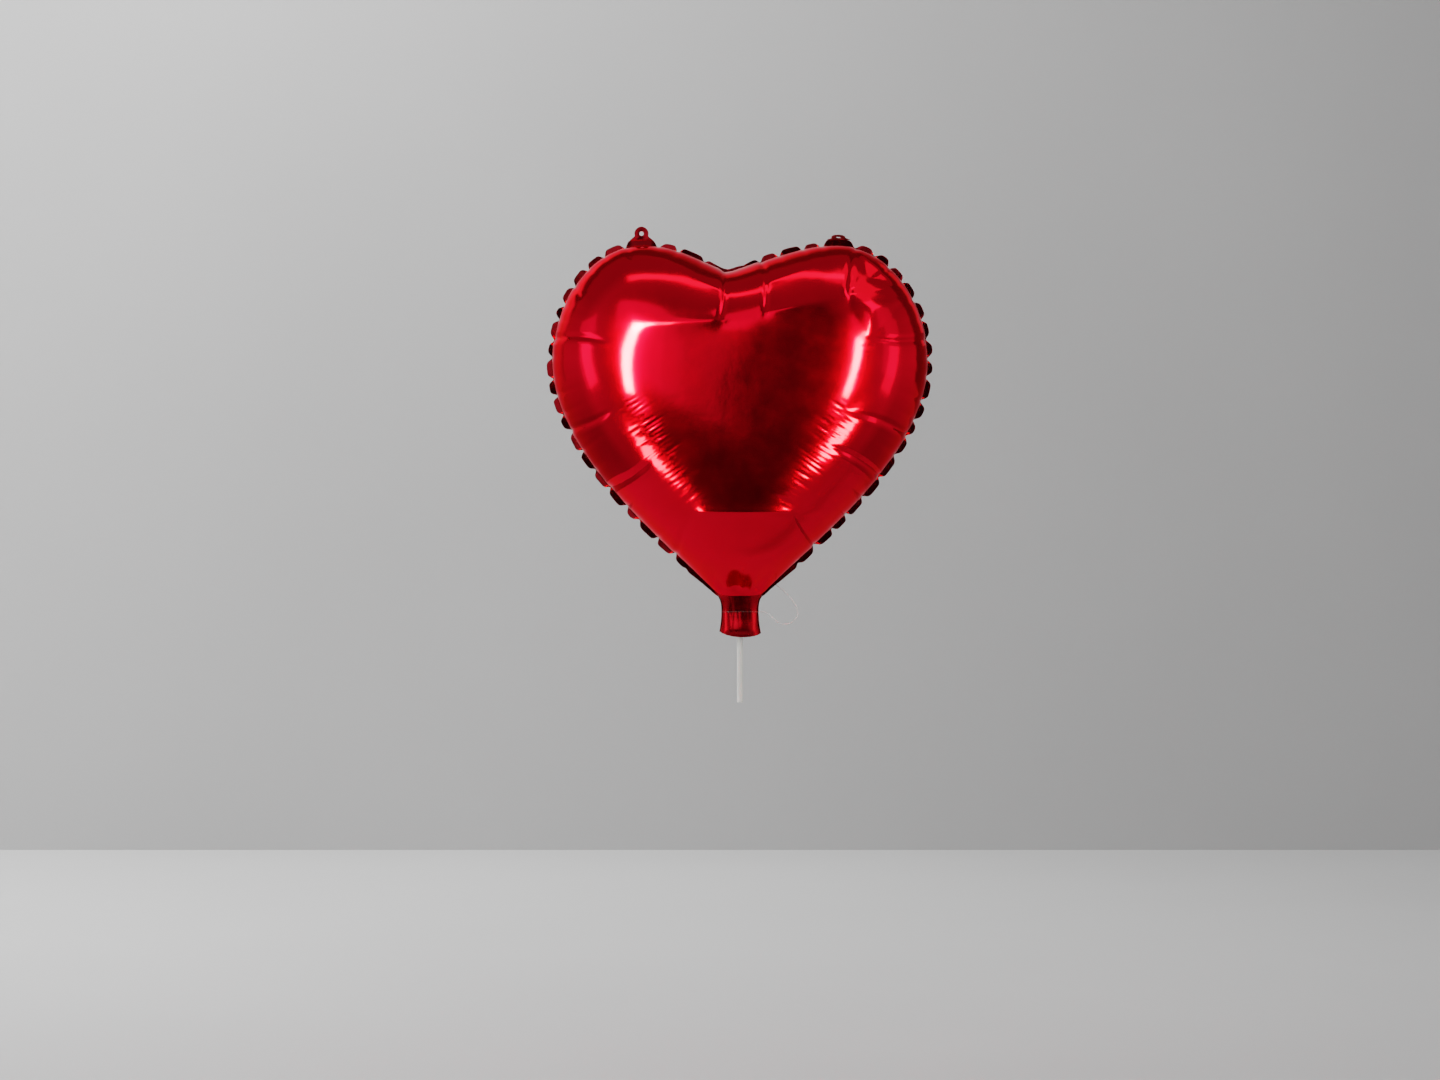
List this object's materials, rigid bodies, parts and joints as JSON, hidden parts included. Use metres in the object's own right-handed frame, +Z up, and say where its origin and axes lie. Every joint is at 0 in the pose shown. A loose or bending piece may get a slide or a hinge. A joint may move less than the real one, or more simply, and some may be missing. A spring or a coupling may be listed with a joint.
{
  "type": "heart-shaped foil balloon",
  "caption": "Inflated heart-shaped foil balloon with a scalloped seam, hanging tabs, an open neck with a valve and inflation straw, and a loop of clear thread.",
  "frame": {"origin": "centre of the neck's open mouth, level with the mouth's two corners", "axes": "+Z up through the heart to its notch, +X to the right as seen from the front, +Y to the rear"},
  "size_m": [0.3678, 0.166, 0.4514],
  "materials": {
    "front_foil": "mirror-bright metallised film, tinted red",
    "rear_foil": "mirror-bright metallised film, tinted red",
    "neck_foil": "creased metallised film, tinted red",
    "seam_foil": "heat-sealed metallised film, puckered, darker red",
    "tab_foil": "two layers of metallised film sealed flat",
    "valve_film": "clear soft polyethylene film",
    "valve_seal": "clear polyethylene weld",
    "straw": "milky translucent plastic",
    "thread": "clear nylon thread"
  },
  "bodies": {
    "envelope": {"front_panel": "front_foil", "rear_panel": "rear_foil", "neck_front": "neck_foil", "neck_rear": "neck_foil", "seam_band": "seam_foil", "neck_seams": "seam_foil", "valve_front_film": "valve_film", "valve_rear_film": "valve_film", "valve_edge_seals": "valve_seal", "thread_tie": "thread", "thread_knot": "thread", "thread_loop": "thread"},
    "left_tab": {"left_tab": "tab_foil"},
    "right_tab": {"right_tab": "tab_foil"},
    "straw": {"straw": "straw"}
  },
  "joints": [
    {"name": "left_tab_fold", "type": "hinge", "parent": "envelope", "child": "left_tab", "pos_m": [-0.0935, 0, 0.3733], "axis": [1, 0, 0], "range_deg": [-90, 90]},
    {"name": "right_tab_fold", "type": "hinge", "parent": "envelope", "child": "right_tab", "pos_m": [0.0935, 0, 0.3733], "axis": [1, 0, 0], "range_deg": [-28, 152]},
    {"name": "straw_slide", "type": "slide", "parent": "envelope", "child": "straw", "axis": [0, 0, -1], "range_m": [-0.03, 0.07]}
  ]
}
